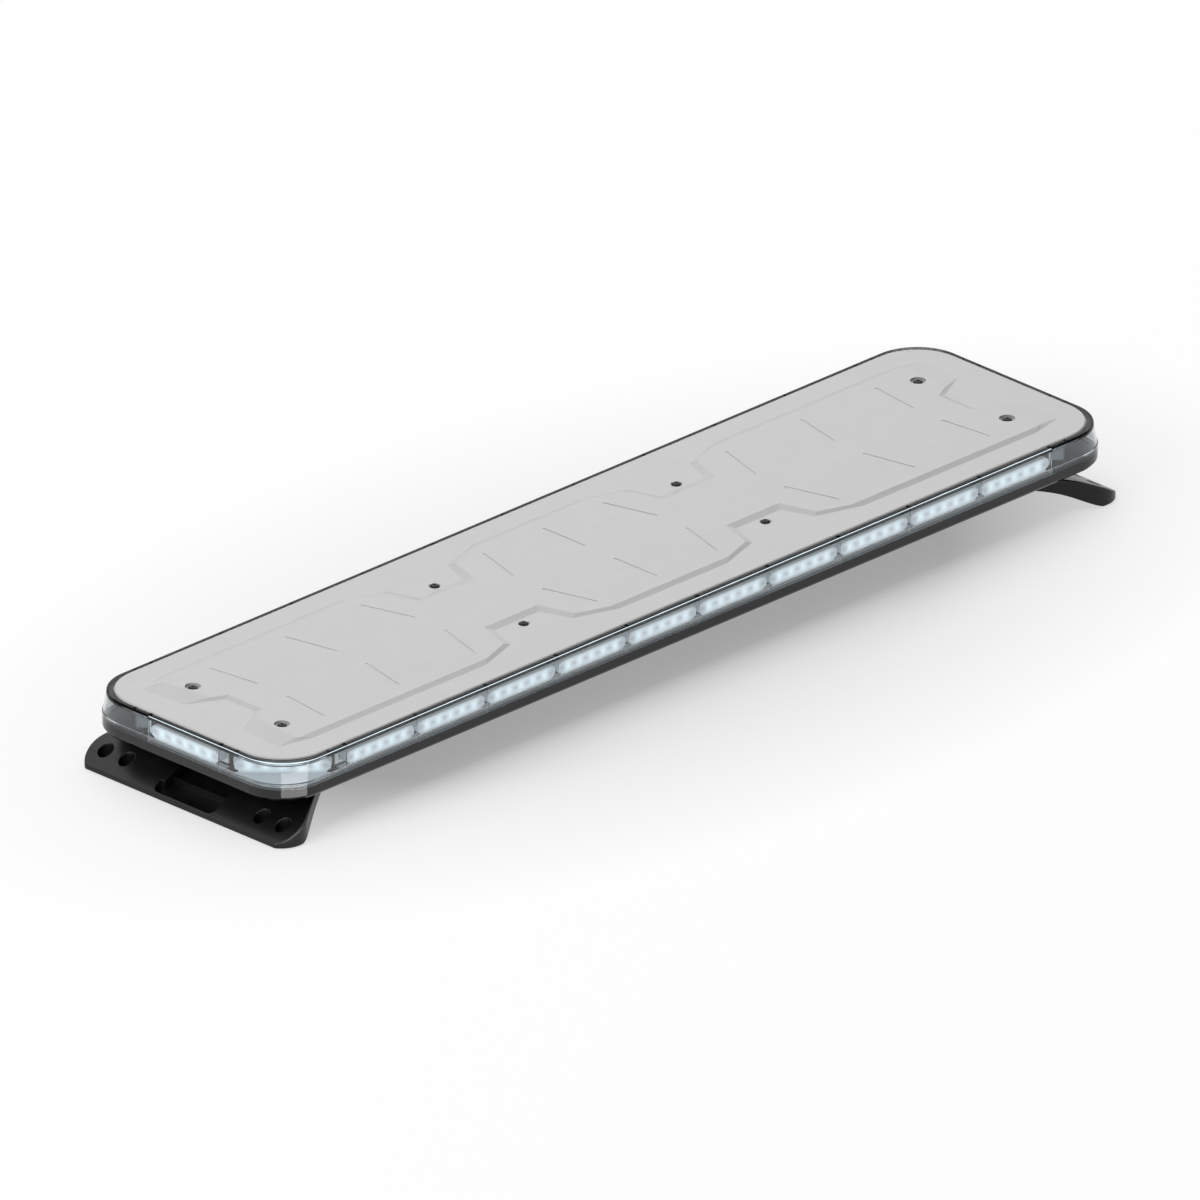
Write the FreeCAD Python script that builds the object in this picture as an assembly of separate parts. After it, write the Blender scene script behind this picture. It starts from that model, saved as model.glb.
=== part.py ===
import FreeCAD, Part
import math
import os

# Emergency light bar for a vehicle roof: a dark tray, a ring of clear lens segments with LED modules
# behind them, a cover with raised relief, and two moulded mounting feet under the ends.
# Millimetres. X runs along the bar, Y across it and Z up; the origin is on the roof under the middle.

V = FreeCAD.Vector

# Plan of the bar
module_pitch = 104.0          # one lens segment along a side
side_modules = 10             # lens segments along each long side
corner_reach = 96.0           # from the last seam of a side to the outside of the corner
corner_radius = 50.0
half_length = side_modules * module_pitch / 2 + corner_reach
half_width = module_pitch / 2 + corner_reach
arc_x = half_length - corner_radius
arc_y = half_width - corner_radius

# Reach of one shape into another
overrun = 1.0                 # how far a cutting shape runs past what it cuts
root = 0.5                    # how far a post, boss or shank reaches into what carries it

# Tray
pad_proud = 1.0               # how far the rubber pads stand below the feet
foot_height = 45.0            # foot underside to tray underside
tray_height = 13.6
floor_thickness = 3.0
tray_round = [(4.4, 0.0), (2.6, 1.0), (0.5, 3.5), (0.15, 5.0)]   # inset and height round the bottom edge
tray_draft = 0.8              # inset allowed for the lean of the tray's wall
tray_wall = 3.4
rim_thickness = 4.0           # flange that carries the lens segments
rim_width = 19.0
tray_bottom = pad_proud + foot_height
floor_level = tray_bottom + floor_thickness
joint_level = tray_bottom + tray_height

# Lens segments
lens_height = 29.9            # up to the top of the lip round the cover
lens_wall = 2.8
skirt_height = 6.0            # lower band of the lens
skirt_step = 0.9              # how far the wall stands back from the skirt
lens_draft = 1.9              # inset of the wall at the top
shoulder_radius = 55.0        # corner radius at the top of the wall, larger than at its foot
lip_radius = 1.5
lip_width = 7.0               # inner edge of the lip, from the outside
ledge_drop = 3.1              # from the lip down to the ledge under the cover
lens_flange = 18.0            # inner edge of the ledge, from the outside
lens_foot = 9.0               # width of the flange that sits on the tray
seam_gap = 0.3
seam_rib_length = 2.6
seam_rib_width = 1.6
seam_rib_height = 0.7
corner_rib_offset = 24.0      # second rib of a corner segment, from its end
lens_top = joint_level + lens_height
ledge_level = lens_top - ledge_drop

# Seals
groove_inset = 4.2
groove_width = 2.6
groove_depth = 1.8
cover_seal_thickness = 1.0
cover_seal_inset = 9.0
cover_seal_width = 4.0

# Cover
cover_inset = 7.4
cover_corner_radius = 54.5    # rounder than the corners of the tray
cover_thickness = 3.0
cover_edge_radius = 2.4
relief_height = 2.0
cover_bottom = ledge_level + cover_seal_thickness
margin_level = cover_bottom + cover_thickness
relief_level = margin_level + relief_height
relief_side_margin = 45.8     # from the side of the bar to the top edge of the raised field
relief_slope = 7.8            # plan width of the slope along the sides
score_width = 2.6
score_depth = 0.45
score_far = 65.1              # outer and inner ends of the scored lines, from the side of the bar
score_near = 125.6
relief_waist = [(90.7, None), (52.5, 59.3), (39.3, 102.1)]            # top edge round a middle screw
relief_waist_foot = [(100.1, None), (45.6, 55.7), (32.4, 92.2)]       # foot of the slope there
relief_end = [(69.0, None), (66.7, 51.0), (73.6, 114.2), (92.4, 123.5)]
relief_end_foot = [(85.6, None), (42.0, 47.0), (45.0, 104.2), (85.8, 125.6)]
score_places = [(0.0, 0.0), (88.7, 105.9), (268.6, 250.9), (380.2, 367.2), (490.3, 483.0)]

# Cover screws, in four columns and two rows
end_screw_margin = 81.2       # from the end of the bar to the end screws
row_margin = 82.3             # from the side of the bar to a row
screw_seat_depth = 0.8        # seat below the margin of the cover
screw_recess = 12.4
end_counterbore = 17.0
screw_shank = 5.0
screw_length = 22.0           # depth of the threaded holes
screw_run_out = 2.0           # left free at the bottom of those holes
screw_head = 10.4
screw_head_height = 2.6
screw_socket = 3.0
screw_socket_depth = 1.6
screw_clearance = 0.5
thread_clearance = 0.2
screw_side = 0.35             # share of the head's height up to its crown
screw_crown = [(0.78, 0.8), (0.4, 1.0)]
post_diameter = 12.0
boss_diameter = 20.0
screw_x_end = half_length - end_screw_margin
screw_x_mid = screw_x_end / 3
screw_y = half_width - row_margin
seat_level = margin_level - screw_seat_depth
screw_columns = [-screw_x_end, -screw_x_mid, screw_x_mid, screw_x_end]
screw_places = [(x, sy * screw_y) for x in screw_columns for sy in (-1, 1)]

# LED modules
optic_inset = 6.0             # from the outside of the lens to the face of the optic
optic_depth = 12.4
optic_height = 15.8
optic_body = 84.0
optic_corner = 1.5
ear_reach = 44.2              # from the middle of an optic to its ear
ear_radius = 6.2
ear_hole = 3.2
ear_step = 2.0                # ears stand back from the face of the optic
ear_rise = 1.0                # ears above the middle of the optic
boss_radius = 3.6
strip_thickness = 1.4         # carrier strip along the backs of a row of optics
strip_margin = 3.0
optic_bottom = joint_level + 4.7
led_gap = 0.2                 # between an LED and the back of its optic
led_size = 5.0
led_thickness = 1.4
part_root = 0.2               # how far an LED or a component reaches into its board
led_pitch = 17.3
leds_per_module = 5
board_thickness = 1.6
board_height = 19.0
board_inset = optic_inset + optic_depth + led_gap + led_thickness
carrier_inset = board_inset + board_thickness
carrier_thickness = 3.0
carrier_height = 32.0
carrier_foot = 24.0
corner_optic_offset = 12.8    # from the middle of the corner arc out to the face of the corner optic
carrier_end_margin = 3.0

# Control board
control_length = 420.0
control_width = 100.0
control_standoff = 8.0
standoff_diameter = 8.0
control_x = 60.0
standoff_margin = 8.0
# Components on the board from its corner: where they start, their size and their height
control_blocks = [(40 + n * 46.0, 14.0, 24.0, 16.0, 14.0) for n in range(4)]
control_blocks += [(330.0, 12.0, 70.0, 14.0, 10.0), (150.0, 58.0, 30.0, 30.0, 3.0)]
control_cans = [(250 + n * 22.0, 22.0, 14.0, 18.0) for n in range(3)]

# Mounting feet, with distances measured inwards from the outer edge and upwards from the underside
foot_length = 165.0           # along the bar
foot_overhang = 4.0           # beyond the end of the bar
foot_half_width = 153.3
foot_arc_radius = 28.6        # round each outer corner
foot_arc_inset = 24.5         # middle of that arc
foot_blend_radius = 7.0       # where the arc meets the outer edge
foot_taper = math.radians(32)
foot_inner_radius = 12.0
foot_edge_radius = 2.0        # round over of the upper edges
foot_under_radius = 1.0       # round over of the lower edges
opening_radius = 0.7          # round over of the recess and the counterbores
foot_top = [(0.0, 4.7), (15.0, 13.4), (22.3, 17.7), (36.0, 24.8), (50.0, 30.8), (66.0, 35.7), (95.0, 45.0)]
foot_under = [(30.0, 0.0), (42.0, 5.0), (55.0, 12.0), (68.0, 18.4), (90.0, 25.4), (foot_length, 34.2)]
foot_x = half_length + foot_overhang
foot_pad_length = 24.0
pad_thickness = 3.0
pad_margin = 5.0
pad_hole_margin = 1.0         # round a fixing where it goes through the pad
fixing_inset = 22.0           # roof fixings
fixing_end_margin = 22.5      # from the end of a foot to the outer fixings
fixing_spacing = 31.2         # between the two fixings at each end
fixing_outer = foot_half_width - fixing_end_margin
fixing_inner = fixing_outer - fixing_spacing
fixing_counterbore = 17.0
fixing_hole = 8.4
fixing_floor = 7.0            # thickness left under the counterbores
recess_half_width = 43.9
recess_corner_radius = 7.0
recess_edge = 3.8
web_inset = 28.6              # thin web across the recess
web_thickness = 1.8
web_top = 15.3
recess_floor = [(recess_edge, 2.6), (web_inset, 6.0)]
strap_half_width = 37.4       # strap slot behind the web
strap_back = 60.0
strap_floor = [(web_inset + web_thickness, 6.5), (strap_back, 18.5)]
jamb_inset = 16.0             # front of the jamb beside the strap slot

# Bolts between the feet and the tray
bolt_size = 8.0
bolt_head = 13.0
bolt_head_height = 5.3
bolt_counterbore = 17.0
bolt_grip = 7.0               # thickness of the foot under the bolt heads
bolt_clearance = 0.5
bolt_end = 1.0                # thread that stands past the nut
nut_size = 13.0
nut_height = 6.5
bolt_places = [(95.0, 84.0), (140.0, 36.0)]

# Cable gland and vent
gland_x = -300.0
gland_y = 45.0
gland_thread = 20.0
gland_hex = 24.0
gland_hex_height = 7.0
gland_dome = 21.0
gland_dome_taper = 3.0
gland_dome_height = 11.0
gland_bore = 8.0
gland_nut_hex = 26.0
gland_nut_height = 5.0
gland_end = 2.0               # thread that stands past the nut
vent_x = 300.0
vent_y = 45.0
vent_thread = 12.0
vent_head = 17.0
vent_height = 6.0
vent_stem = 4.0
vent_edge_radius = 1.5


def plan_wire(inset, level, radius=None):
    """Outline of the bar moved inwards by inset, at a height, with its own or other corners."""
    hx = half_length - inset
    hy = half_width - inset
    r = radius or corner_radius - inset
    cx = hx - r
    cy = hy - r
    d = r * math.sqrt(0.5)
    edges = [
        Part.LineSegment(V(-cx, -hy, level), V(cx, -hy, level)),
        Part.Arc(V(cx, -hy, level), V(cx + d, -cy - d, level), V(hx, -cy, level)),
        Part.LineSegment(V(hx, -cy, level), V(hx, cy, level)),
        Part.Arc(V(hx, cy, level), V(cx + d, cy + d, level), V(cx, hy, level)),
        Part.LineSegment(V(cx, hy, level), V(-cx, hy, level)),
        Part.Arc(V(-cx, hy, level), V(-cx - d, cy + d, level), V(-hx, cy, level)),
        Part.LineSegment(V(-hx, cy, level), V(-hx, -cy, level)),
        Part.Arc(V(-hx, -cy, level), V(-cx - d, -cy - d, level), V(-cx, -hy, level)),
    ]
    return Part.Wire([e.toShape() for e in edges])


def plan_slab(inset, low, high):
    """Flat slab with the plan of the bar."""
    return Part.Face(plan_wire(inset, low)).extrude(V(0, 0, high - low))


def cover_slab(inset, low, high):
    """Flat slab whose outline runs with the edge of the cover."""
    radius = cover_corner_radius + cover_inset - inset
    return Part.Face(plan_wire(inset, low, radius)).extrude(V(0, 0, high - low))


def ring(slab, inset, width, low, high):
    """Band that is left between two slabs of one kind."""
    return slab(inset, low, high).cut(slab(inset + width, low - overrun, high + overrun))


def polygon(points):
    """Face bounded by straight lines."""
    return Part.Face(Part.makePolygon(points + [points[0]]))


def box(x0, x1, y0, y1, z0, z1):
    """Box between two corners."""
    return Part.makeBox(x1 - x0, y1 - y0, z1 - z0, V(x0, y0, z0))


def cylinder(x, y, low, high, diameter):
    """Upright cylinder."""
    return Part.makeCylinder(diameter / 2, high - low, V(x, y, low))


def hexagon(x, y, low, high, across_flats):
    """Upright hexagonal prism."""
    r = across_flats / math.sqrt(3)
    turns = [math.radians(a) for a in range(0, 360, 60)]
    points = [V(x + r * math.cos(a), y + r * math.sin(a), low) for a in turns]
    return polygon(points).extrude(V(0, 0, high - low))


def placed(shape, x, y, angle):
    """Copy of a shape turned about Z through the origin, then moved."""
    turned = shape.copy()
    turned.rotate(V(0, 0, 0), V(0, 0, 1), angle)
    turned.translate(V(x, y, 0))
    return turned


def fused(shapes):
    """One solid from several that touch or overlap."""
    return shapes[0].multiFuse(shapes[1:]).removeSplitter()


def side_frames():
    """Turn of each side and the middle of its outer edge, for parts drawn for the front side.

    Such a part has its outside on the line Y = 0 and its inside towards +Y.
    """
    return {
        "front": (0, 0, -half_width),
        "right": (90, half_length, 0),
        "rear": (180, 0, half_width),
        "left": (270, -half_length, 0),
    }


def corner_frames():
    """Turn of each corner and the middle of its arc, for parts drawn for the front left corner.

    Such a part has the middle of its arc at the origin.
    """
    return {
        "front_left": (0, -arc_x, -arc_y),
        "front_right": (90, arc_x, -arc_y),
        "rear_right": (180, arc_x, arc_y),
        "rear_left": (270, -arc_x, arc_y),
    }


row_centres = [(i - (side_modules - 1) / 2) * module_pitch for i in range(side_modules)]


def lens_ring():
    """All lens segments in one: foot flange, skirt, leaning wall, round lip and ledge for the cover."""
    z0 = joint_level
    bend = z0 + skirt_height
    under = ledge_level - lens_wall
    outside = [
        plan_wire(0, z0),
        plan_wire(0, bend),
        plan_wire(skirt_step, bend + skirt_step),
        plan_wire(lens_draft, lens_top, shoulder_radius),
    ]
    inside = [
        plan_wire(lens_wall, z0 + lens_wall),
        plan_wire(lens_draft + lens_wall, under, shoulder_radius - lens_wall),
    ]
    body = Part.makeLoft(outside, True, True)
    body = body.makeFillet(lip_radius, [e for e in body.Edges if e.BoundBox.ZMin > under])
    openings = [
        Part.makeLoft(inside, True, True),
        plan_slab(lens_foot, z0 - overrun, z0 + lens_wall),
        cover_slab(lens_flange, under, ledge_level),
        cover_slab(lip_width, ledge_level, lens_top + overrun),
    ]
    return body.cut(fused(openings))


def seam_rib(x0):
    """Small rib on the lip at the end of a segment."""
    y0 = lip_width - seam_rib_length
    low = lens_top - seam_rib_height
    high = lens_top + seam_rib_height
    return box(x0, x0 + seam_rib_width, y0, lip_width, low, high)


def straight_lens(whole):
    """Lens segment for the front side, about X = 0, cut from the whole ring."""
    length = module_pitch - seam_gap
    reach = box(-length / 2, length / 2, -half_width, -half_width + corner_radius, joint_level, lens_top)
    wall = whole.common(reach)
    wall.translate(V(0, half_width, 0))
    ribs = [seam_rib(-length / 2), seam_rib(length / 2 - seam_rib_width)]
    return fused([wall] + ribs)


def corner_lens(whole):
    """Lens segment round the front left corner, cut from the whole ring."""
    leg = corner_reach - corner_radius - seam_gap / 2
    reach = box(-half_length, leg - arc_x, -half_width, leg - arc_y, joint_level, lens_top)
    bend = whole.common(reach)
    bend.translate(V(arc_x, arc_y, 0))
    pieces = [bend]
    for back in (seam_rib_width, corner_rib_offset):
        front_rib = seam_rib(leg - back)
        side_rib = seam_rib(back - seam_rib_width - leg)
        for rib in (front_rib, side_rib):
            rib.translate(V(0, -corner_radius, 0))
        pieces.extend([front_rib, placed(side_rib, 0, 0, -90)])
    return fused(pieces)


def optic_block():
    """Clear optic with an ear at each end, for the front side, about X = 0."""
    ear_level = optic_bottom + optic_height / 2 + ear_rise
    half = optic_body / 2
    front = optic_inset + ear_step
    back = optic_inset + optic_depth
    body = box(-half, half, optic_inset, back, optic_bottom, optic_bottom + optic_height)
    body = body.makeFillet(optic_corner, [e for e in body.Edges if abs(e.Length - optic_depth) < 0.01])
    pieces = [body]
    for side in (-1, 1):
        middle = V(side * ear_reach, front, ear_level)
        pieces.append(Part.makeCylinder(ear_radius, optic_depth - ear_step, middle, V(0, 1, 0)))
        pieces.append(Part.makeCylinder(boss_radius, board_inset - front, middle, V(0, 1, 0)))
    return drilled_ears(fused(pieces), [0])


def drilled_ears(shape, centres):
    """Shape with the pin holes through the ears of the optics at these places along it."""
    ear_level = optic_bottom + optic_height / 2 + ear_rise
    holes = []
    for centre in centres:
        for side in (-1, 1):
            start = V(centre + side * ear_reach, 0, ear_level)
            holes.append(Part.makeCylinder(ear_hole / 2, board_inset + 1, start, V(0, 1, 0)))
    return shape.cut(Part.makeCompound(holes))


def led_row(centres):
    """LED packages in front of their board."""
    mid = optic_bottom + optic_height / 2
    half = led_size / 2
    leds = []
    for centre in centres:
        for n in range(leds_per_module):
            x = centre + (n - (leds_per_module - 1) / 2) * led_pitch
            leds.append(box(x - half, x + half, board_inset - led_thickness, board_inset + part_root,
                            mid - half, mid + half))
    return leds


def led_board(centres, length):
    """Board with its LED packages, for the front side."""
    mid = optic_bottom + optic_height / 2
    board = box(-length / 2, length / 2, board_inset, board_inset + board_thickness,
                mid - board_height / 2, mid + board_height / 2)
    return fused([board] + led_row(centres))


def heat_sink_rail():
    """Angle that stands on the floor behind a long LED board."""
    length = side_modules * module_pitch
    y0 = carrier_inset
    y1 = carrier_inset + carrier_thickness
    y2 = carrier_inset + carrier_foot
    z0 = floor_level
    section = polygon([
        V(-length / 2, y0, z0),
        V(-length / 2, y2, z0),
        V(-length / 2, y2, z0 + carrier_thickness),
        V(-length / 2, y1, z0 + carrier_thickness),
        V(-length / 2, y1, z0 + carrier_height),
        V(-length / 2, y0, z0 + carrier_height),
    ])
    return section.extrude(V(length, 0, 0))


def end_carrier():
    """Upright rib of the tray behind the LED board of an end, for the front side."""
    half = module_pitch / 2 - carrier_end_margin
    back = carrier_inset + carrier_thickness
    return box(-half, half, carrier_inset, back, floor_level - root, floor_level + carrier_height)


def corner_turned(shape):
    """A part drawn for the front side moved onto the diagonal of the front left corner."""
    moved = shape.copy()
    moved.translate(V(0, -corner_optic_offset - optic_inset, 0))
    moved.rotate(V(0, 0, 0), V(0, 0, 1), -45)
    return moved


def tray():
    """Tray with floor, leaning wall, rim flange, corner shelves, posts and carriers."""
    rings = [plan_wire(inset, tray_bottom + rise) for inset, rise in tray_round]
    shell = Part.makeLoft(rings + [plan_wire(0, joint_level)], True, True)
    cavity = plan_slab(tray_draft + tray_wall, floor_level, joint_level - rim_thickness)
    back = corner_optic_offset - optic_depth
    hx = half_length - rim_width
    hy = half_width - rim_width
    diagonal = arc_x + arc_y + back * math.sqrt(2)
    corner_x = diagonal - hy
    corner_y = diagonal - hx
    low = joint_level - rim_thickness - overrun
    mouth = polygon([
        V(-corner_x, -hy, low),
        V(corner_x, -hy, low),
        V(hx, -corner_y, low),
        V(hx, corner_y, low),
        V(corner_x, hy, low),
        V(-corner_x, hy, low),
        V(-hx, corner_y, low),
        V(-hx, -corner_y, low),
    ]).extrude(V(0, 0, rim_thickness + 2 * overrun))
    shell = shell.cut(cavity).cut(mouth)
    groove = ring(plan_slab, groove_inset, groove_width, joint_level - groove_depth, joint_level + overrun)
    shell = shell.cut(groove)
    upright = [cylinder(x, y, floor_level - root, cover_bottom, post_diameter) for x, y in screw_places]
    for side in ("left", "right"):
        angle, x, y = side_frames()[side]
        upright.append(placed(end_carrier(), x, y, angle))
    for angle, x, y in corner_frames().values():
        upright.append(placed(corner_turned(end_carrier()), x, y, angle))
    for x, y in standoff_places():
        upright.append(cylinder(x, y, floor_level - root, floor_level + control_standoff, standoff_diameter))
    body = fused([shell] + upright)
    thread = screw_shank + thread_clearance
    top = cover_bottom + overrun
    holes = [cylinder(x, y, cover_bottom - screw_length, top, thread) for x, y in screw_places]
    through = [(x, y, bolt_size) for x, y in bolt_spots()]
    through += [(gland_x, gland_y, gland_thread), (vent_x, vent_y, vent_thread)]
    for x, y, size in through:
        holes.append(cylinder(x, y, tray_bottom - overrun, floor_level + overrun, size + bolt_clearance))
    return body.cut(Part.makeCompound(holes))


def bolt_spots():
    """Bolts between the feet and the tray, seen from above."""
    spots = []
    for side in (-1, 1):
        for inset, y in bolt_places:
            spots.extend([(side * (foot_x - inset), -y), (side * (foot_x - inset), y)])
    return spots


def standoff_places():
    """Standoffs under the corners of the control board."""
    dx = control_length / 2 - standoff_margin
    dy = control_width / 2 - standoff_margin
    return [(control_x + sx * dx, sy * dy) for sx in (-1, 1) for sy in (-1, 1)]


def relief_outline(level, top):
    """Outline of the raised field: its top edge, or the foot of its slopes."""
    y_side = half_width - relief_side_margin + (0 if top else relief_slope)
    waist = relief_waist if top else relief_waist_foot
    end = relief_end if top else relief_end_foot

    def spot(x, margin):
        return (x, y_side if margin is None else half_width - margin)

    quarter = [spot(screw_x_mid - away, margin) for away, margin in waist]
    quarter += [spot(screw_x_mid + away, margin) for away, margin in reversed(waist)]
    quarter += [spot(half_length - away, margin) for away, margin in end]
    right = quarter + [(x, -y) for x, y in reversed(quarter)]
    left = [(-x, -y) for x, y in right]
    points = [V(x, y, level) for x, y in right + left]
    return Part.makePolygon(points + [points[0]])


def relief_solid(low, high):
    """Raised field between two levels."""
    return Part.makeLoft([relief_outline(low, False), relief_outline(high, True)], True, True)


def score_line(x0, y0, x1, y1):
    """Shallow scored line with round ends in the raised field."""
    low = relief_level - score_depth
    high = relief_level + overrun
    length = math.hypot(x1 - x0, y1 - y0)
    r = score_width / 2
    slot = box(0, length, -r, r, low, high)
    ends = [cylinder(x, 0, low, high, score_width) for x in (0, length)]
    slot = fused([slot] + ends)
    return placed(slot, x0, y0, math.degrees(math.atan2(y1 - y0, x1 - x0)))


def top_cover():
    """Formed cover: raised field, scored lines, screw seats and a turned down edge."""
    plate = cover_slab(cover_inset, cover_bottom, margin_level)
    plate = plate.makeFillet(cover_edge_radius, [e for e in plate.Edges if e.BoundBox.ZMin > cover_bottom])
    cover = plate.fuse(relief_solid(margin_level, relief_level))
    cover = cover.cut(relief_solid(cover_bottom, cover_bottom + relief_height))
    bosses = [cylinder(x, y, cover_bottom, seat_level, boss_diameter) for x, y in screw_places]
    cover = fused([cover] + bosses)
    cuts = []
    for x, y in screw_places:
        cuts.append(cylinder(x, y, cover_bottom - overrun, relief_level, screw_shank + screw_clearance))
        opening = end_counterbore if abs(x) == screw_x_end else screw_recess
        cuts.append(cylinder(x, y, seat_level, relief_level + overrun, opening))
    y_far = half_width - score_far
    y_near = half_width - score_near
    for x_far, x_near in score_places:
        for sx in ((-1, 1) if x_far else (1,)):
            for sy in (-1, 1):
                cuts.append(score_line(sx * x_far, sy * y_far, sx * x_near, sy * y_near))
    return cover.cut(Part.makeCompound(cuts))


def cover_screws():
    """Button head screws of the cover, with their sockets."""
    r = screw_head / 2
    crown = [V(r, 0, screw_head_height * screw_side)]
    crown += [V(r * across, 0, screw_head_height * up) for across, up in screw_crown]
    edges = [
        Part.LineSegment(V(0, 0, 0), V(r, 0, 0)),
        Part.LineSegment(V(r, 0, 0), crown[0]),
        Part.Arc(crown[0], crown[1], crown[2]),
        Part.LineSegment(crown[2], V(0, 0, screw_head_height)),
        Part.LineSegment(V(0, 0, screw_head_height), V(0, 0, 0)),
    ]
    head = Part.Face(Part.Wire([e.toShape() for e in edges])).revolve(V(0, 0, 0), V(0, 0, 1), 360)
    head.translate(V(0, 0, seat_level))
    top = seat_level + screw_head_height
    screws = []
    for x, y in screw_places:
        tip = cover_bottom - screw_length + screw_run_out
        shank = cylinder(x, y, tip, seat_level + root, screw_shank)
        socket = hexagon(x, y, top - screw_socket_depth, top + overrun, screw_socket)
        screws.append(placed(head, x, y, 0).fuse(shank).cut(socket))
    return Part.makeCompound(screws)


def upright_edges(shape, x):
    """Upright edges of a shape at one distance along X."""
    near = 0.01
    found = []
    for edge in shape.Edges:
        bounds = edge.BoundBox
        leaning = max(bounds.XLength, bounds.YLength) > near
        if bounds.ZLength > near and not leaning and abs(bounds.XMin - x) < near:
            found.append(edge)
    return found


def foot_plan(margin, low, high):
    """Plan of a foot as a slab, drawn in from its edge by margin, for X measured inwards."""
    r = foot_arc_radius - margin
    cx = foot_arc_inset
    cy = foot_half_width - foot_arc_radius
    tx = cx + r * math.sin(foot_taper)
    ty = cy + r * math.cos(foot_taper)
    end_y = ty - (foot_length - tx) * math.tan(foot_taper)
    start_y = cy + math.sqrt(r * r - (cx - margin) ** 2)
    edges = [
        Part.LineSegment(V(margin, -start_y, low), V(margin, start_y, low)),
        Part.Arc(V(margin, start_y, low), V(cx, cy + r, low), V(tx, ty, low)),
        Part.LineSegment(V(tx, ty, low), V(foot_length, end_y, low)),
        Part.LineSegment(V(foot_length, end_y, low), V(foot_length, -end_y, low)),
        Part.LineSegment(V(foot_length, -end_y, low), V(tx, -ty, low)),
        Part.Arc(V(tx, -ty, low), V(cx, -cy - r, low), V(margin, -start_y, low)),
    ]
    slab = Part.Face(Part.Wire([e.toShape() for e in edges])).extrude(V(0, 0, high - low))
    slab = slab.makeFillet(foot_blend_radius, upright_edges(slab, margin))
    return slab.makeFillet(foot_inner_radius, upright_edges(slab, foot_length))


def curve_through(points, y):
    """Smooth curve through points given as distance inwards and height above the foot's underside."""
    spline = Part.BSplineCurve()
    spline.interpolate([V(a, y, pad_proud + b) for a, b in points])
    return spline.toShape()


def straight_through(points, y):
    """Straight lines through points given in the same way."""
    spots = [V(a, y, pad_proud + b) for a, b in points]
    return [Part.LineSegment(a, b).toShape() for a, b in zip(spots, spots[1:])]


def rim_edges(body, side, sloping=False):
    """Edges between upright faces and those that look up, for side 1, or down, for side -1."""
    steepest = 0.1
    flattest = 0.3
    upright = []
    level = []
    for face in body.Faces:
        u0, u1, v0, v1 = face.ParameterRange
        lean = face.normalAt((u0 + u1) / 2, (v0 + v1) / 2).z * side
        if abs(lean) < steepest:
            upright.extend(face.Edges)
        elif lean > flattest:
            bounds = face.BoundBox
            if not sloping or (bounds.YLength > foot_half_width and bounds.ZLength > foot_edge_radius):
                level.extend(face.Edges)
    return [e for e in level if any(e.isSame(other) for other in upright)]


def foot():
    """Moulded foot with X measured inwards from its outer edge: a curved side profile cut to the plan."""
    y = -foot_half_width - overrun
    lines = [curve_through(foot_top[1:], y), curve_through(foot_under, y)]
    lines += straight_through([foot_under[0], (0, 0), foot_top[0], foot_top[1]], y)
    lines += straight_through([foot_top[-1], (foot_length, foot_height), foot_under[-1]], y)
    profile = Part.Face(Part.Wire(Part.__sortEdges__(lines)))
    body = profile.extrude(V(0, -2 * y, 0))
    body = body.common(foot_plan(0, 0, tray_bottom + 5 * overrun))
    body = body.makeFillet(foot_edge_radius, rim_edges(body, 1))
    body = body.makeFillet(foot_under_radius, rim_edges(body, -1))
    body = body.cut(recess())
    floor = pad_proud + fixing_floor
    for y in (-fixing_outer, -fixing_inner, fixing_inner, fixing_outer):
        body = body.cut(cylinder(fixing_inset, y, floor, tray_bottom + 5 * overrun, fixing_counterbore))
        body = body.cut(cylinder(fixing_inset, y, 0, tray_bottom, fixing_hole))
    body = body.makeFillet(opening_radius, rim_edges(body, 1, True))
    for inset, y in bolt_places:
        for side in (-1, 1):
            body = body.cut(cylinder(inset, side * y, 0, tray_bottom - bolt_grip, bolt_counterbore))
            body = body.cut(cylinder(inset, side * y, 0, tray_bottom + overrun, bolt_size + bolt_clearance))
    return body.cut(pad())


def recess_part(floor, low_y, high_y):
    """Prism above a sloping floor between two sides of the recess."""
    high = tray_bottom + 5 * overrun
    points = [V(a, low_y, pad_proud + b) for a, b in floor]
    points += [V(floor[-1][0], low_y, high), V(floor[0][0], low_y, high)]
    return polygon(points).extrude(V(0, high_y - low_y, 0))


def recess():
    """Recess of a foot: a pocket behind the rim, a thin web, and a strap slot with a jamb on one side."""
    w = recess_half_width
    pocket = recess_part(recess_floor, -w, w)
    pocket = pocket.makeFillet(recess_corner_radius, upright_edges(pocket, recess_edge))
    jamb = box(jamb_inset, strap_back, strap_half_width, w + overrun, 0, tray_bottom + 6 * overrun)
    slot_front = strap_floor[0][0]
    over_web = recess_part([(web_inset - overrun, web_top), (slot_front + overrun, web_top)], -w, w)
    slot = recess_part(strap_floor, -w, strap_half_width)
    return pocket.fuse([over_web, slot]).cut(jamb)


def pad():
    """Rubber pad under the outer part of a foot, with X measured inwards."""
    slab = foot_plan(pad_margin, 0, pad_thickness)
    inner_end = pad_margin + foot_pad_length
    pad_hole = fixing_hole + 2 * pad_hole_margin
    slab = slab.common(box(0, inner_end, -foot_half_width, foot_half_width, 0, pad_thickness))
    for y in (fixing_inner, fixing_outer):
        for side in (-1, 1):
            hole = cylinder(fixing_inset, side * y, -overrun, pad_thickness + overrun, pad_hole)
            slab = slab.cut(hole)
    return slab


def at_end(shape, side):
    """A part of a foot moved to the left or right end of the bar."""
    if side == "left":
        return placed(shape, -foot_x, 0, 0)
    return placed(shape, foot_x, 0, 180)


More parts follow.
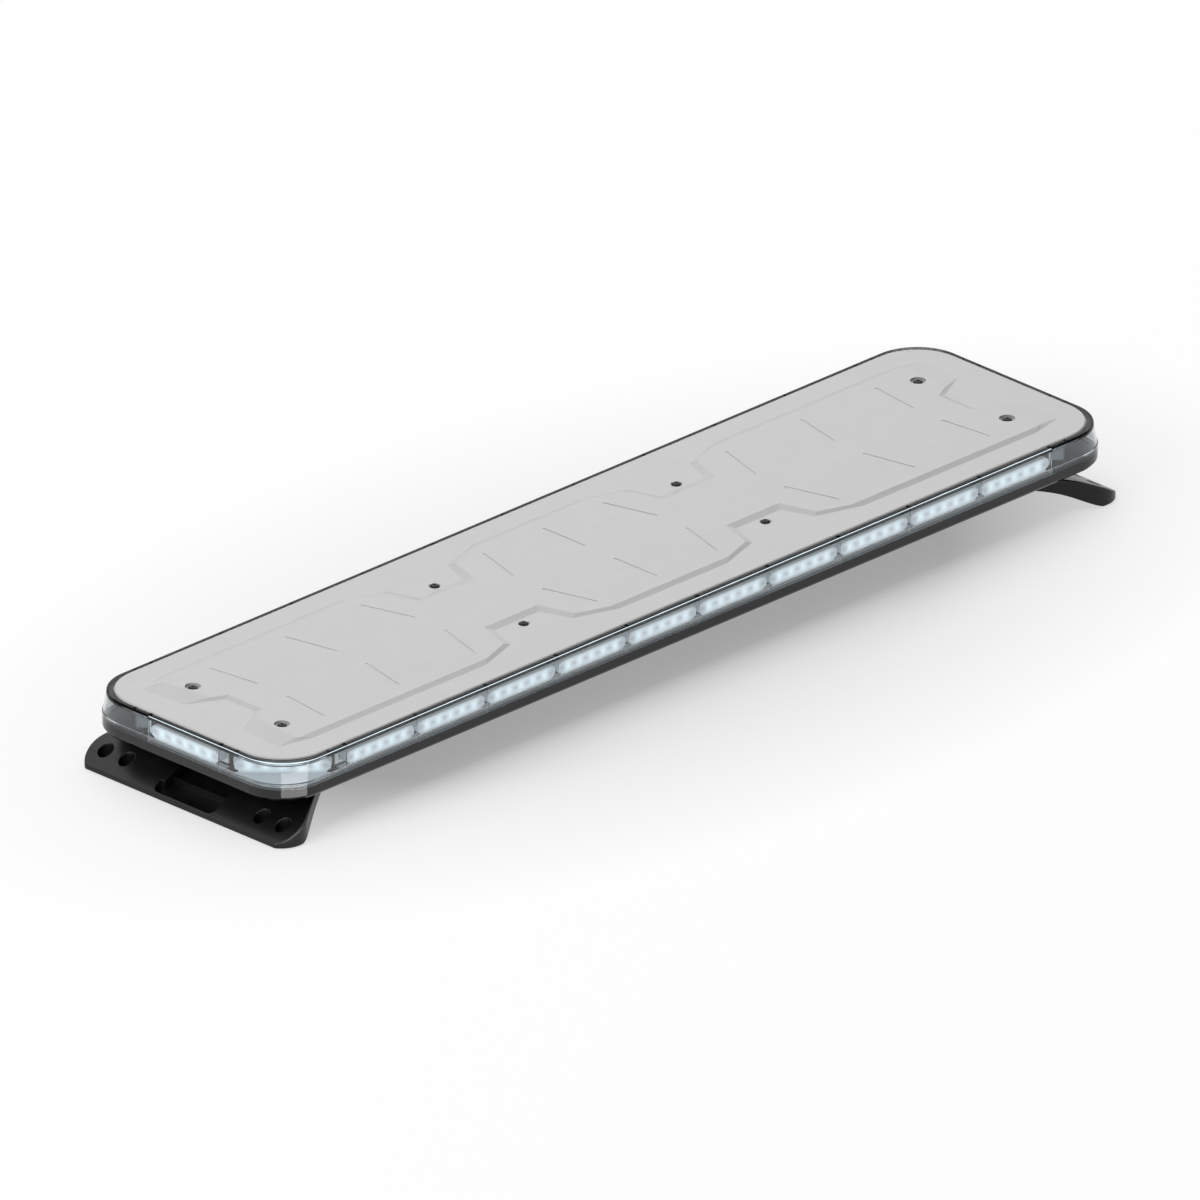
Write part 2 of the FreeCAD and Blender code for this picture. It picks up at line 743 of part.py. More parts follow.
def foot_bolts():
    """Hexagon bolts that hold the feet to the tray."""
    bolts = []
    top = floor_level + nut_height + bolt_end
    seat = tray_bottom - bolt_grip
    for x, y in bolt_spots():
        head = hexagon(x, y, seat - bolt_head_height, seat, bolt_head)
        bolts.append(head.fuse(cylinder(x, y, seat - root, top, bolt_size)))
    return Part.makeCompound(bolts)


def nut(x, y, height, across_flats, thread):
    """Hexagon nut on the floor of the tray."""
    top = floor_level + height
    body = hexagon(x, y, floor_level, top, across_flats)
    return body.cut(cylinder(x, y, floor_level - overrun, top + overrun, thread + thread_clearance))


def foot_nuts():
    """Nuts on the floor of the tray, one on each foot bolt."""
    return Part.makeCompound([nut(x, y, nut_height, nut_size, bolt_size) for x, y in bolt_spots()])


def control_board():
    """Control board with its larger components."""
    low = floor_level + control_standoff
    x0 = control_x - control_length / 2
    y0 = -control_width / 2
    top = low + board_thickness
    parts = [box(x0, x0 + control_length, y0, y0 + control_width, low, top)]
    for x, y, length, width, height in control_blocks:
        parts.append(box(x0 + x, x0 + x + length, y0 + y, y0 + y + width, top - part_root, top + height))
    for x, y, diameter, height in control_cans:
        parts.append(cylinder(x0 + x, y0 + y, top - part_root, top + height, diameter))
    return fused(parts)


def cable_gland():
    """Cable gland through the floor, with its bore left open."""
    top = floor_level + gland_nut_height + gland_end
    body = fused([
        cylinder(gland_x, gland_y, tray_bottom - root, top, gland_thread),
        hexagon(gland_x, gland_y, tray_bottom - gland_hex_height, tray_bottom, gland_hex),
        Part.makeCone(gland_dome / 2 - gland_dome_taper, gland_dome / 2, gland_dome_height,
                      V(gland_x, gland_y, tray_bottom - gland_hex_height - gland_dome_height)),
    ])
    return body.cut(cylinder(gland_x, gland_y, 0, lens_top, gland_bore))


def gland_nut():
    """Lock nut of the cable gland on the floor of the tray."""
    return nut(gland_x, gland_y, gland_nut_height, gland_nut_hex, gland_thread)


def breather_vent():
    """Breather plug in the floor of the tray."""
    low = tray_bottom - vent_height
    head = cylinder(vent_x, vent_y, low, tray_bottom, vent_head)
    head = head.makeFillet(vent_edge_radius, [e for e in head.Edges if e.BoundBox.ZMax < tray_bottom])
    stem = cylinder(vent_x, vent_y, tray_bottom - root, floor_level + vent_stem, vent_thread)
    return head.fuse(stem)


def optic_row():
    """Optics of a long side, joined along their backs by a thin carrier strip."""
    blocks = [placed(optic_block(), x, 0, 0) for x in row_centres]
    half = side_modules * module_pitch / 2 - carrier_end_margin
    back = optic_inset + optic_depth
    low = optic_bottom + strip_margin
    high = optic_bottom + optic_height - strip_margin
    strip = box(-half, half, back - strip_thickness, back, low, high)
    return fused([drilled_ears(strip, row_centres)] + blocks)


def build():
    """Every piece of the light bar by name."""
    pieces = {
        "base_tray": tray(),
        "top_cover": top_cover(),
        "cover_seal": ring(cover_slab, cover_seal_inset, cover_seal_width, ledge_level, cover_bottom),
        "lens_seal": ring(plan_slab, groove_inset, groove_width, joint_level - groove_depth, joint_level),
        "cover_screws": cover_screws(),
        "foot_bolts": foot_bolts(),
        "foot_nuts": foot_nuts(),
        "control_board": control_board(),
        "cable_gland": cable_gland(),
        "gland_nut": gland_nut(),
        "breather_vent": breather_vent(),
    }
    whole = lens_ring()
    segment = straight_lens(whole)
    rail = heat_sink_rail()
    optics = optic_row()
    long_board = led_board(row_centres, side_modules * module_pitch)
    for side in ("front", "rear"):
        angle, x, y = side_frames()[side]
        for number, centre in enumerate(row_centres, start=1):
            pieces["lens_%s_%d" % (side, number)] = placed(segment, centre, y, angle)
        pieces["heat_sink_" + side] = placed(rail, x, y, angle)
        pieces["optics_" + side] = placed(optics, x, y, angle)
        pieces["led_board_" + side] = placed(long_board, x, y, angle)
    short_board = led_board([0], module_pitch - 2 * carrier_end_margin)
    for side in ("left", "right"):
        angle, x, y = side_frames()[side]
        pieces["lens_end_" + side] = placed(segment, x, y, angle)
        pieces["optic_end_" + side] = placed(optic_block(), x, y, angle)
        pieces["led_board_end_" + side] = placed(short_board, x, y, angle)
        pieces["foot_" + side] = at_end(foot(), side)
        pieces["foot_pad_" + side] = at_end(pad(), side)
    corner = corner_lens(whole)
    for name, (angle, x, y) in corner_frames().items():
        pieces["lens_corner_" + name] = placed(corner, x, y, angle)
        pieces["optic_corner_" + name] = placed(corner_turned(optic_block()), x, y, angle)
        pieces["led_board_corner_" + name] = placed(corner_turned(short_board), x, y, angle)
    return pieces


os.makedirs("parts", exist_ok=True)
for node, shape in build().items():
    shape.exportStep("parts/" + node + ".step")
    print(node, len(shape.Solids), shape.isValid(), round(shape.Volume / 1000, 2))
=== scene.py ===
import math

import bpy
import bmesh
from mathutils import Matrix, Vector


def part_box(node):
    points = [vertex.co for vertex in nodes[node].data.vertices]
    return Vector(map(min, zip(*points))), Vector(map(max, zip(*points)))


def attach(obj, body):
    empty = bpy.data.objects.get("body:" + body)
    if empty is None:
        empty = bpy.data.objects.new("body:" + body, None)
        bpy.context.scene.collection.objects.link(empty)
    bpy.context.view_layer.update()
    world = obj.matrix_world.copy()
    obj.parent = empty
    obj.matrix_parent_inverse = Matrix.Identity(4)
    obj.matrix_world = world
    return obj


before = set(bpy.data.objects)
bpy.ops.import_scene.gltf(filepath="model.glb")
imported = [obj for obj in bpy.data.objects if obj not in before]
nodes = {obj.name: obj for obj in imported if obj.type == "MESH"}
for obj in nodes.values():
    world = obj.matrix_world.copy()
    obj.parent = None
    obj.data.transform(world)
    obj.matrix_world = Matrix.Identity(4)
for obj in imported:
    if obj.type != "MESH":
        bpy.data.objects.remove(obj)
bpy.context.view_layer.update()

MM = 0.001

# Sizes read from the frame
tray_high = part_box("base_tray")[1]
lens_low, lens_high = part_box("lens_front_1")
optic_low, optic_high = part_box("optics_front")
half_length = tray_high.x
half_width = tray_high.y
optic_inset = half_width + optic_low.y

# Sizes under the names that the part's source gives them
seam_gap = 0.3 * MM
module_pitch = lens_high.x - lens_low.x + seam_gap
modules_in_row = 10
optic_depth = 12.4 * MM
led_pitch = 17.3 * MM
corner_radius = 50 * MM
arc_x = half_length - corner_radius
arc_y = half_width - corner_radius
corner_optic_offset = 12.8 * MM     # from the middle of the corner arc out to the face of the optic

# Clear plastic: the wall of the lens, its skirt at the bottom and its thick lip at the top; the lip gets
# painted shade (a near-black colour and a weak reflection), and the skirt and the lip's edge get a painted
# glow
lens_ior = 1.49
lens_roughness = 0.02
# painted glow low in the lens skirt, fading upwards
skirt_top = lens_low.z + 6.5 * MM
skirt_fade = 6.0 * MM
lip_start = lens_high.z - 3.7 * MM
lip_fade = 1.0 * MM
# painted highlight along the rounded edge of the lip
lip_highlight_fade = 0.4 * MM
# weak reflection in the lip, part of its painted shade
lip_ior = 1.12
lip_specular = 0.06
# painted highlight: the lip's edge glows between these two slopes of its surface
lip_highlight_rise = (0.05, 0.15)        # how far a surface faces up where the glow of the lip comes in
lip_highlight_fall = (0.45, 0.65)        # and where it goes out

# Face of an optic
face_half_length = 49.5 * MM
face_edge = 0.3 * MM            # from the top and bottom of the optic
face_low = optic_low.z + face_edge
face_high = optic_high.z - face_edge
face_middle = (face_low + face_high) / 2
face_radius = 6.0 * MM
notch_length = 4.48 * MM
notch_step = 1.0 * MM
notch_step_height = 2.4 * MM
notch_height = 4.2 * MM
border_width = 0.9 * MM
border_height = 0.9 * MM
bevel_end = 1.5 * MM
field_height = 0.35 * MM

# Pattern of light on the face of an optic, in the millimetres of its UV
spot_reach = (4.6, 5.2)
spot_gain = 0.30
prism_reach = (4.4, 2.4)
prism_loss = 0.24
prism_lean = 0.6
field_level = 0.66
face_ends = (38.0, 50.0)
face_end_level = 0.45
face_edges = (4.5, 7.6)
face_edge_level = 0.62

# Plates at the foot of the lens, which carry painted light from the LEDs
shelf_low = lens_low.z + 0.2 * MM
shelf_high = shelf_low + 1.0 * MM
shelf_margin = 9.6 * MM         # from the outside of the lens
shelf_under_optic = 8.0 * MM    # how far a corner plate goes under its optic
shelf_end_gap = 0.2 * MM

# Colours
white = (1.0, 1.0, 1.0)
led_white = (0.80, 0.93, 1.0)
clear_tint = (0.96, 0.98, 0.99)
# painted shade: darker tint for the lens of three corners, which are the same plastic as the rest
painted_shade_tint = (0.62, 0.64, 0.65)
# painted shade: near-black colour of the lens lip, which is clear plastic
lip_painted_shade_tint = (0.035, 0.038, 0.04)


# Shader helpers

def new_material(name):
    """Empty node material with its output."""
    material = bpy.data.materials.new(name)
    material.use_nodes = True
    tree = material.node_tree
    tree.nodes.clear()
    output = tree.nodes.new("ShaderNodeOutputMaterial")
    return material, tree, output


def node(tree, kind, **inputs):
    """Shader node with some of its sockets set by name; a colour is given with three numbers."""
    made = tree.nodes.new(kind)
    for key, value in inputs.items():
        socket = made.inputs[key.replace("_", " ")]
        socket.default_value = (*value, 1) if isinstance(value, tuple) else value
    return made


def math_node(tree, operation, first, second=None):
    """Math node fed by sockets or numbers."""
    made = tree.nodes.new("ShaderNodeMath")
    made.operation = operation
    for index, value in enumerate((first, second)):
        if value is None:
            continue
        if isinstance(value, (int, float)):
            made.inputs[index].default_value = value
        else:
            tree.links.new(value, made.inputs[index])
    return made.outputs[0]


def square_sum(tree, first, second):
    """Sum of the squares of two sockets."""
    x = math_node(tree, "POWER", first, 2.0)
    y = math_node(tree, "POWER", second, 2.0)
    return math_node(tree, "ADD", x, y)


def split(tree, socket):
    """The three parts of a vector socket."""
    made = tree.nodes.new("ShaderNodeSeparateXYZ")
    tree.links.new(socket, made.inputs[0])
    return made.outputs


def own_place(tree):
    """Coordinates of the object itself, in metres."""
    return tree.nodes.new("ShaderNodeTexCoord").outputs["Object"]


def noise(tree, scale, detail, roughness=0.5):
    """Noise over the object's own coordinates."""
    made = node(tree, "ShaderNodeTexNoise", Scale=scale, Detail=detail, Roughness=roughness)
    tree.links.new(own_place(tree), made.inputs["Vector"])
    return made.outputs["Fac"]


def ramp(tree, socket, low, high, first, last):
    """Numbers from first to last while the socket goes from low to high."""
    made = node(tree, "ShaderNodeMapRange", From_Min=low, From_Max=high, To_Min=first, To_Max=last)
    tree.links.new(socket, made.inputs["Value"])
    return made.outputs["Result"]


def mix_colours(tree, socket, first, last):
    """Colour between two by a socket."""
    made = tree.nodes.new("ShaderNodeMix")
    made.data_type = "RGBA"
    tree.links.new(socket, made.inputs["Factor"])
    made.inputs[6].default_value = (*first, 1)
    made.inputs[7].default_value = (*last, 1)
    return made.outputs[2]


def bump(tree, socket, strength, distance):
    """Bump from a height socket, with the distance in metres."""
    made = node(tree, "ShaderNodeBump", Strength=strength, Distance=distance)
    tree.links.new(socket, made.inputs["Height"])
    return made.outputs["Normal"]


def surface(name, first, last, roughness, grain, metallic=0.0, specular=0.5, depth=0.02 * MM, coat=0.0,
            glow=0.0):
    """Solid surface with a slow drift between two colours, a fine grain, an uneven gloss and, where given, a
    painted glow.
    """
    material, tree, output = new_material(name)
    shader = node(tree, "ShaderNodeBsdfPrincipled", Metallic=metallic, Specular_IOR_Level=specular,
                  Coat_Weight=coat, Coat_Roughness=0.04, Emission_Color=led_white, Emission_Strength=glow)
    drift = ramp(tree, noise(tree, 40.0, 2.0), 0.35, 0.65, 0.0, 1.0)
    fine = noise(tree, grain, 4.0, 0.6)
    tree.links.new(mix_colours(tree, drift, first, last), shader.inputs["Base Color"])
    tree.links.new(ramp(tree, fine, 0.3, 0.7, roughness * 0.88, roughness * 1.12), shader.inputs["Roughness"])
    tree.links.new(bump(tree, fine, 0.5, depth), shader.inputs["Normal"])
    tree.links.new(shader.outputs["BSDF"], output.inputs["Surface"])
    return material


def lens_painted_glow(tree, height, skirt, lip):
    """Painted glow on a lens, low in its skirt, and a painted highlight along the rounded edge of its lip."""
    low = ramp(tree, height, skirt_top, skirt_top - skirt_fade, 0.0, skirt)
    facing_up = split(tree, tree.nodes.new("ShaderNodeNewGeometry").outputs["Normal"])[2]
    rises = ramp(tree, facing_up, *lip_highlight_rise, 0.0, lip)
    falls = ramp(tree, facing_up, *lip_highlight_fall, 1.0, 0.0)
    lip_highlight_start = lip_start + lip_fade
    in_lip = ramp(tree, height, lip_highlight_start, lip_highlight_start + lip_highlight_fade, 0.0, 1.0)
    edge = math_node(tree, "MULTIPLY", math_node(tree, "MULTIPLY", rises, falls), in_lip)
    return math_node(tree, "ADD", low, edge)


def clear_plastic(name, tint, skirt, lip=0.0):
    """Clear moulded plastic with painted shade in its thick lip, a near-black colour and a dull weak
    reflection, and a painted glow in its skirt and along its lip.
    """
    material, tree, output = new_material(name)
    shader = node(tree, "ShaderNodeBsdfPrincipled", Roughness=lens_roughness, Transmission_Weight=1.0,
                  Emission_Color=led_white)
    height = split(tree, own_place(tree))[2]
    # painted shade: above this height the lip is coloured near-black and made dull
    thick = ramp(tree, height, lip_start, lip_start + lip_fade, 0.0, 1.0)
    tree.links.new(mix_colours(tree, thick, tint, lip_painted_shade_tint), shader.inputs["Base Color"])
    tree.links.new(ramp(tree, thick, 0.0, 1.0, 0.5, lip_specular), shader.inputs["Specular IOR Level"])
    tree.links.new(ramp(tree, thick, 0.0, 1.0, lens_ior, lip_ior), shader.inputs["IOR"])
    # painted glow in the skirt and a painted highlight along the lip's edge, as emission
    tree.links.new(lens_painted_glow(tree, height, skirt, lip), shader.inputs["Emission Strength"])
    tree.links.new(bump(tree, noise(tree, 90.0, 1.0), 0.15, 0.2 * MM), shader.inputs["Normal"])
    tree.links.new(shader.outputs["BSDF"], output.inputs["Surface"])
    return material


def blob(tree, along, up, reach):
    """Soft spot, one in its middle and fading over its reach along and up."""
    x = math_node(tree, "DIVIDE", along, reach[0])
    y = math_node(tree, "DIVIDE", up, reach[1])
    return math_node(tree, "EXPONENT", math_node(tree, "MULTIPLY", square_sum(tree, x, y), -1.0))


def repeat(tree, value, step):
    """Distance from the nearest multiple of a step."""
    row = math_node(tree, "DIVIDE", value, step)
    nearest = math_node(tree, "ROUND", row)
    return math_node(tree, "MULTIPLY", math_node(tree, "SUBTRACT", row, nearest), step)


def optic_pattern(tree):
    """Brightness over an optic's face: a spot at each LED, leaning prisms between them, darker edges."""
    place = split(tree, tree.nodes.new("ShaderNodeUVMap").outputs["UV"])
    along = place[0]
    up = place[1]
    pitch = led_pitch / MM
    spot = blob(tree, repeat(tree, along, pitch), up, spot_reach)
    halfway = math_node(tree, "SUBTRACT", along, pitch / 2)
    leaning = math_node(tree, "ADD", halfway, math_node(tree, "MULTIPLY", up, prism_lean))
    prism = blob(tree, repeat(tree, leaning, pitch), up, prism_reach)
    level = math_node(tree, "ADD", field_level, math_node(tree, "MULTIPLY", spot, spot_gain))
    level = math_node(tree, "SUBTRACT", level, math_node(tree, "MULTIPLY", prism, prism_loss))
    end = ramp(tree, math_node(tree, "ABSOLUTE", along), *face_ends, 1.0, face_end_level)
    edge = ramp(tree, math_node(tree, "ABSOLUTE", up), *face_edges, 1.0, face_edge_level)
    return math_node(tree, "MULTIPLY", math_node(tree, "MULTIPLY", level, end), edge)


def lit_optic(name, base, level, pattern):
    """Clear optic lit from behind, evenly or with the pattern of the LEDs and prisms."""
    material, tree, output = new_material(name)
    shader = node(tree, "ShaderNodeBsdfPrincipled", Base_Color=base, Roughness=0.22, Emission_Color=led_white,
                  Emission_Strength=level)
    if pattern:
        glow = math_node(tree, "MULTIPLY", optic_pattern(tree), level)
        tree.links.new(glow, shader.inputs["Emission Strength"])
    tree.links.new(shader.outputs["BSDF"], output.inputs["Surface"])
    return material


# Materials

cover_paint = surface("cover_paint", (0.46, 0.46, 0.462), (0.473, 0.473, 0.473), 0.30, 2600.0,
                      depth=0.006 * MM)
tray_paint = surface("tray_paint", (0.006, 0.006, 0.0065), (0.009, 0.009, 0.0095), 0.4, 1800.0, specular=0.0,
                     depth=0.01 * MM, coat=0.9)
foot_plastic = surface("foot_plastic", (0.005, 0.005, 0.005), (0.008, 0.008, 0.0085), 0.3, 1500.0,
                       specular=0.32, depth=0.01 * MM)
rubber = surface("rubber", (0.012, 0.012, 0.012), (0.02, 0.02, 0.02), 0.7, 1200.0, specular=0.3)
steel = surface("steel", (0.42, 0.42, 0.43), (0.5, 0.5, 0.5), 0.3, 900.0, metallic=1.0)
dark_steel = surface("dark_steel", (0.008, 0.008, 0.008), (0.015, 0.015, 0.015), 0.42, 900.0, specular=0.2)
aluminium = surface("aluminium", (0.6, 0.61, 0.62), (0.66, 0.67, 0.68), 0.4, 700.0, metallic=1.0)
# painted glow: the LED boards shine faintly to light the gaps between the optics
board_white_painted_glow = surface("board_white_painted_glow", (0.72, 0.76, 0.8), (0.78, 0.81, 0.84), 0.5, 900.0, glow=0.16)
board_green = surface("board_green", (0.02, 0.09, 0.05), (0.03, 0.12, 0.06), 0.35, 900.0)
black_plastic = surface("black_plastic", (0.012, 0.012, 0.012), (0.018, 0.018, 0.018), 0.5, 1200.0)
# plates under the optics: an unlit copy, a soft painted glow and a brighter painted pool of light
shelf_unlit = surface("shelf_unlit", (0.10, 0.105, 0.11), (0.13, 0.135, 0.14), 0.3, 900.0)
shelf_painted_glow = surface("shelf_painted_glow", (0.12, 0.13, 0.14), (0.15, 0.16, 0.17), 0.3, 900.0, glow=0.14)
shelf_painted_light_pool = surface("shelf_painted_light_pool", (0.12, 0.13, 0.14), (0.15, 0.16, 0.17), 0.3, 900.0, glow=0.34)
lens_clear = clear_plastic("lens_clear", clear_tint, skirt=0.04)
# copy of the clear lens with a painted highlight along its lip, for the front, left end and front left corner
lens_near_painted_highlight = clear_plastic("lens_near_painted_highlight", clear_tint, skirt=0.05, lip=1.2)
lens_shaded = clear_plastic("lens_shaded", painted_shade_tint, skirt=0.02)
optic_body = lit_optic("optic_body", (0.2, 0.23, 0.25), 0.17, pattern=False)
optic_face_lit = lit_optic("optic_face_lit", (0.25, 0.28, 0.3), 0.80, pattern=True)
# painted shade: a dimmer copy of the lit optic face, for three corners
optic_face_painted_dim = lit_optic("optic_face_painted_dim", (0.2, 0.22, 0.23), 0.16, pattern=True)


def dress(material, *starts):
    """Give a material to every node whose name begins with one of these."""
    for name, part in nodes.items():
        if name.startswith(starts):
            part.data.materials.clear()
            part.data.materials.append(material)


dress(cover_paint, "top_cover")
dress(tray_paint, "base_tray")
dress(lens_clear, "lens_rear", "lens_end_right")
# only these lens segments get the painted lip highlight
dress(lens_near_painted_highlight, "lens_front", "lens_end_left", "lens_corner_front_left")
# painted shade: the lens of three corners gets the darker tint
dress(lens_shaded, "lens_corner_front_right", "lens_corner_rear")
dress(optic_body, "optic")
dress(board_white_painted_glow, "led_board")
dress(aluminium, "heat_sink")
dress(board_green, "control_board")
dress(foot_plastic, "foot_left", "foot_right")
dress(rubber, "foot_pad", "cover_seal", "lens_seal")
dress(steel, "foot_bolts", "foot_nuts")
dress(dark_steel, "cover_screws")
dress(black_plastic, "cable_gland", "gland_nut", "breather_vent")


# Pieces

def mesh_piece(name, build, frame_matrix, material):
    """Object from a function that fills a bmesh in a module's frame, riding on the part."""
    shape = bmesh.new()
    build(shape)
    bmesh.ops.recalc_face_normals(shape, faces=shape.faces)
    mesh = bpy.data.meshes.new(name)
    shape.to_mesh(mesh)
    shape.free()
    mesh.transform(frame_matrix)
    mesh.materials.append(material)
    piece = bpy.data.objects.new(name, mesh)
    bpy.context.scene.collection.objects.link(piece)
    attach(piece, "root")


def placed(x, y, degrees):
    """Frame at a place on the plan, turned about Z."""
    return Matrix.Translation((x, y, 0)) @ Matrix.Rotation(math.radians(degrees), 4, "Z")


def module_frames():
    """Name and frame of every LED module: X along it, Y inwards from the lens, Z up."""
    frames = {}
    for side, y, turn in (("front", -half_width, 0), ("rear", half_width, 180)):
        for number in range(modules_in_row):
            along = (number - (modules_in_row - 1) / 2) * module_pitch
            frames["%s_%d" % (side, number + 1)] = placed(0, y, turn) @ Matrix.Translation((along, 0, 0))
    frames["end_right"] = placed(half_length, 0, 90)
    frames["end_left"] = placed(-half_length, 0, 270)
    outwards = Matrix.Translation((0, -corner_optic_offset - optic_inset, 0))
    frames["corner_front_left"] = placed(-arc_x, -arc_y, -45) @ outwards
    frames["corner_front_right"] = placed(arc_x, -arc_y, 45) @ outwards
    frames["corner_rear_right"] = placed(arc_x, arc_y, 135) @ outwards
    frames["corner_rear_left"] = placed(-arc_x, arc_y, 225) @ outwards
    return frames


def arc(x, y, radius, first, last, steps):
    """Points of an arc about x, y, with the angles in degrees."""
    angles = [math.radians(first + (last - first) * step / steps) for step in range(steps + 1)]
    return [(x + radius * math.cos(angle), y + radius * math.sin(angle)) for angle in angles]


def optic_face_outline(inset):
    """Points round the face of an optic, with notched lower corners and round upper ones."""
    half = face_half_length - inset
    low = face_low + inset
    high = face_high - inset
    right = [(half - notch_length, low), (half - notch_length + notch_step, low + notch_step_height),
             (half, low + notch_height)]
    right += arc(half - face_radius, high - face_radius, face_radius, 0, 90, 6)
    return right + [(-x, z) for x, z in reversed(right)]


def side_faces(shape, first, second):
    """Faces between two rings of points."""
    return [shape.faces.new((first[i - 1], first[i], second[i], second[i - 1])) for i in range(len(first))]


def build_optic_face(shape):
    """Face of an optic: a raised border, a bevel and a flat field, with UV in millimetres from its middle."""
    uv = shape.loops.layers.uv.new("UVMap")
    steps = ((0.0, 0.0), (0.0, border_height), (border_width, border_height), (bevel_end, field_height))
    rings = []
    for inset, proud in steps:
        outline = optic_face_outline(inset)
        rings.append([shape.verts.new((x, optic_inset - proud, z)) for x, z in outline])
    faces = []
    for first, second in zip(rings, rings[1:]):
        faces += side_faces(shape, first, second)
    faces.append(shape.faces.new(rings[-1]))
    for face in faces:
        for loop in face.loops:
            loop[uv].uv = (loop.vert.co.x / MM, (loop.vert.co.z - face_middle) / MM)


def plate(shape, points):
    """Flat plate at the foot of the lens from its outline."""
    bottom = [shape.verts.new((x, y, shelf_low)) for x, y in points]
    top = [shape.verts.new((x, y, shelf_high)) for x, y in points]
    shape.faces.new(bottom)
    shape.faces.new(top)
    side_faces(shape, bottom, top)


def build_corner_shelf(shape):
    """Plate from under a corner optic out to the foot of the lens, with its ends at 45 degrees."""
    reach = corner_radius - shelf_margin
    back = optic_inset + shelf_under_optic
    centre = optic_inset + corner_optic_offset
    edge = reach * math.cos(math.radians(45))
    end = 2 * edge + back - centre
    plate(shape, [(-end, back)] + arc(0, centre, reach, 225, 315, 12) + [(end, back)])


def build_strip(shape):
    """Plate under a straight module, from the foot of the lens to the back of its optic."""
    half = module_pitch / 2 - shelf_end_gap
    back = optic_inset + optic_depth
    plate(shape, [(-half, shelf_margin), (half, shelf_margin), (half, back), (-half, back)])


for name, place in module_frames().items():
    corner = name.startswith("corner")
    # painted shade: every corner but the front left gets the dimmer optic face and an unlit plate
    painted_dim = corner and name != "corner_front_left"
    face_paint = optic_face_painted_dim if painted_dim else optic_face_lit
    mesh_piece("optic_face_" + name, build_optic_face, place, face_paint)
    # the front left corner plate gets the painted pool of light, the straight modules the soft painted glow
    if corner:
        shelf_paint = shelf_unlit if painted_dim else shelf_painted_light_pool
        mesh_piece("shelf_" + name, build_corner_shelf, place, shelf_paint)
    else:
        mesh_piece("shelf_" + name, build_strip, place, shelf_painted_glow)


# Floor and surroundings

floor_size = 200.0
floor_seen = (0.98, 0.98, 0.98)
floor_lighting = (0.55, 0.55, 0.55)     # what the part gets back from the floor
glow_near = 0.34                        # share of plain white in the floor under the part
glow_far = 0.96
glow_near_reach = 0.45
glow_far_reach = 0.9
glow_squeeze = 1.8                      # the near area is this much shorter along Y
world_light = 0.2


def seen_ray(tree):
    """One for the rays that show the surroundings: straight, mirrored or through clear plastic."""
    path = tree.nodes.new("ShaderNodeLightPath")
    seen = math_node(tree, "MAXIMUM", path.outputs["Is Camera Ray"], path.outputs["Is Glossy Ray"])
    return math_node(tree, "MAXIMUM", seen, path.outputs["Is Transmission Ray"])


def mix_shaders(tree, socket, first, second, output):
    """Blend of two shader nodes by a socket, into the output."""
    mix = tree.nodes.new("ShaderNodeMixShader")
    tree.links.new(socket, mix.inputs[0])
    tree.links.new(first.outputs[0], mix.inputs[1])
    tree.links.new(second.outputs[0], mix.inputs[2])
    tree.links.new(mix.outputs[0], output.inputs["Surface"])


def make_floor():
    """Floor that looks white, keeps the shadows near the part and throws back only some of the light."""
    bpy.ops.mesh.primitive_plane_add(size=floor_size, location=(0, 0, 0))
    floor = bpy.context.object
    floor.name = "floor"
    material, tree, output = new_material("floor_white")
    seen = seen_ray(tree)
    diffuse = node(tree, "ShaderNodeBsdfDiffuse")
    tree.links.new(mix_colours(tree, seen, floor_lighting, floor_seen), diffuse.inputs["Color"])
    glow = node(tree, "ShaderNodeEmission", Color=white, Strength=1.0)
    place = split(tree, own_place(tree))
    squeezed = math_node(tree, "MULTIPLY", place[1], glow_squeeze)
    away = math_node(tree, "SQRT", square_sum(tree, place[0], squeezed))
    share = ramp(tree, away, glow_near_reach, glow_far_reach, glow_near, glow_far)
    mix_shaders(tree, math_node(tree, "MULTIPLY", seen, share), diffuse, glow, output)
    floor.data.materials.append(material)


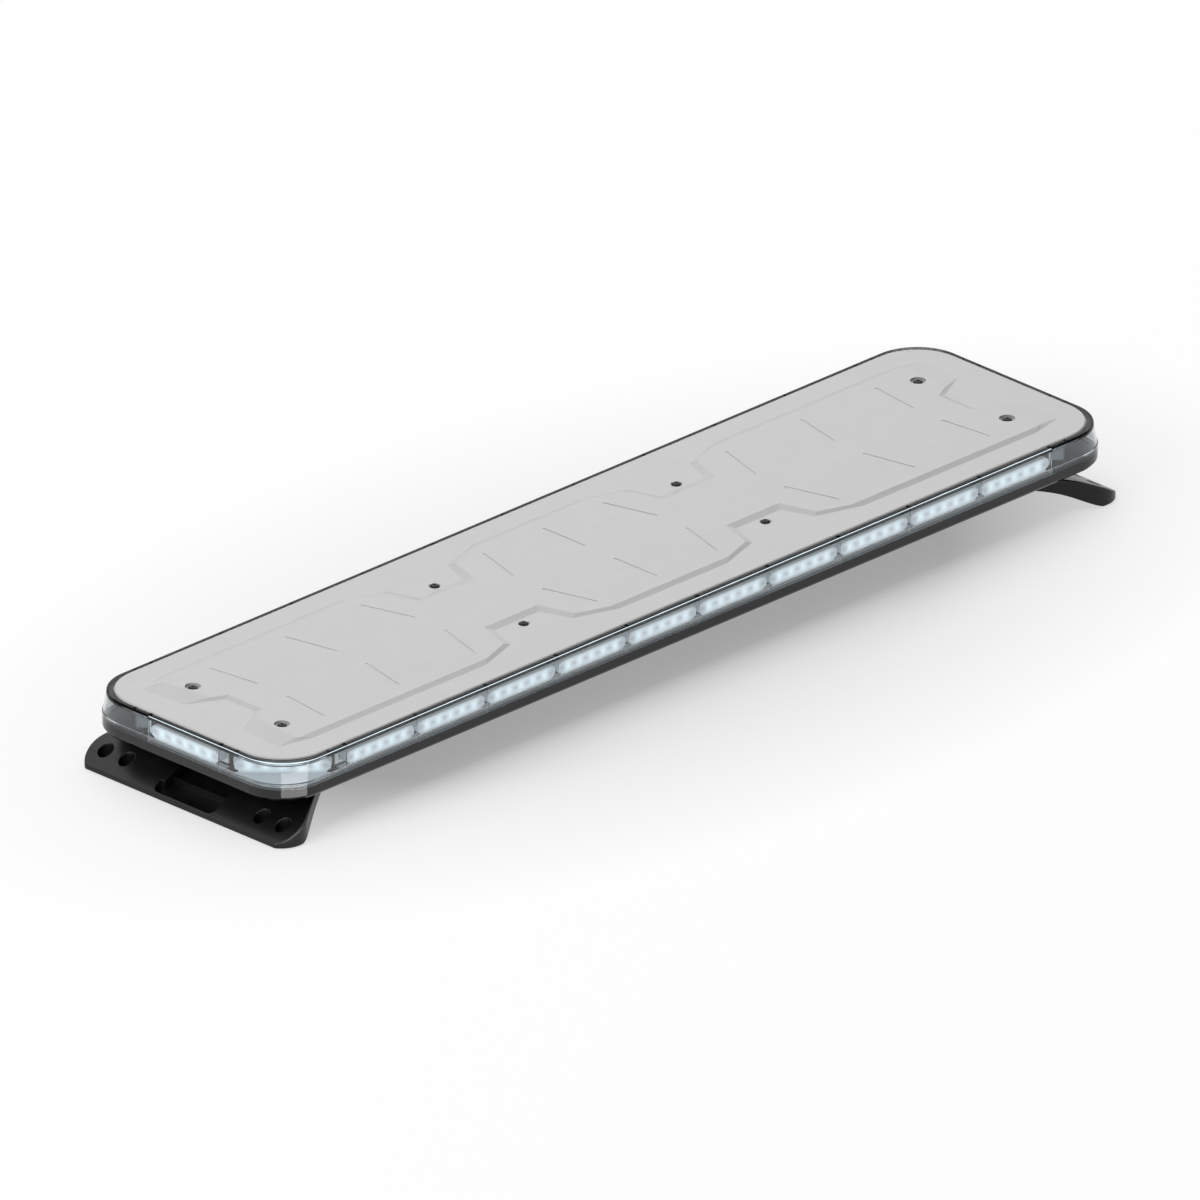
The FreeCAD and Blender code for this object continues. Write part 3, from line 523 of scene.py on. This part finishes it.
def make_world():
    """Soft even light, and plain white where the surroundings are seen."""
    world = bpy.data.worlds.new("studio")
    bpy.context.scene.world = world
    world.use_nodes = True
    tree = world.node_tree
    tree.nodes.clear()
    output = tree.nodes.new("ShaderNodeOutputWorld")
    soft = node(tree, "ShaderNodeBackground", Color=white, Strength=world_light)
    plain = node(tree, "ShaderNodeBackground", Color=white, Strength=1.0)
    mix_shaders(tree, seen_ray(tree), soft, plain, output)


# Lights

middle = (0, 0, 0.05)


def area_light(name, place, target, size, power, lights_matte=True, through_lens=True):
    """Soft box that faces a point."""
    data = bpy.data.lights.new(name, "AREA")
    data.shape = "RECTANGLE"
    data.size, data.size_y = size
    data.energy = power
    lamp = bpy.data.objects.new(name, data)
    bpy.context.scene.collection.objects.link(lamp)
    lamp.location = place
    lamp.rotation_euler = (Vector(target) - Vector(place)).to_track_quat("-Z", "Y").to_euler()
    lamp.visible_camera = False
    lamp.visible_diffuse = lights_matte
    lamp.visible_transmission = through_lens


def make_lights():
    """Soft box above, panels behind and to the left, and a white card that shows in the near corner."""
    area_light("key_above", (0.5, 0.7, 2.2), (0.5, 0.7, 0), (2.6, 3.2), 33)
    area_light("back_panel", (1.9, 1.9, 1.3), middle, (3.0, 1.0), 15, through_lens=False)
    area_light("left_panel", (-2.6, 0.0, 1.3), middle, (1.4, 1.6), 34)
    area_light("corner_card", (-0.6066, -0.1958, 0.036), (-0.5725, -0.1018, 0.036), (0.104, 0.07), 0.1,
               lights_matte=False, through_lens=False)


# Camera: the photograph is a parallel view of a 1.25 m wide field

view_azimuth = math.radians(315)
view_elevation = math.radians(24.94)
view_width = 1.2517
view_distance = 6.0
view_target = Vector((0.0, 0.0, 0.0373))


def make_camera():
    """Camera at the photograph's viewing angle."""
    data = bpy.data.cameras.new("camera")
    data.type = "ORTHO"
    data.ortho_scale = view_width
    data.clip_end = 100.0
    camera = bpy.data.objects.new("camera", data)
    bpy.context.scene.collection.objects.link(camera)
    level = math.cos(view_elevation)
    back = Vector((math.sin(view_azimuth) * level, -math.cos(view_azimuth) * level, math.sin(view_elevation)))
    camera.location = view_target + back * view_distance
    camera.rotation_euler = (-back).to_track_quat("-Z", "Y").to_euler()
    bpy.context.scene.camera = camera


make_floor()
make_world()
make_lights()
make_camera()
bpy.context.scene.view_settings.view_transform = "Standard"
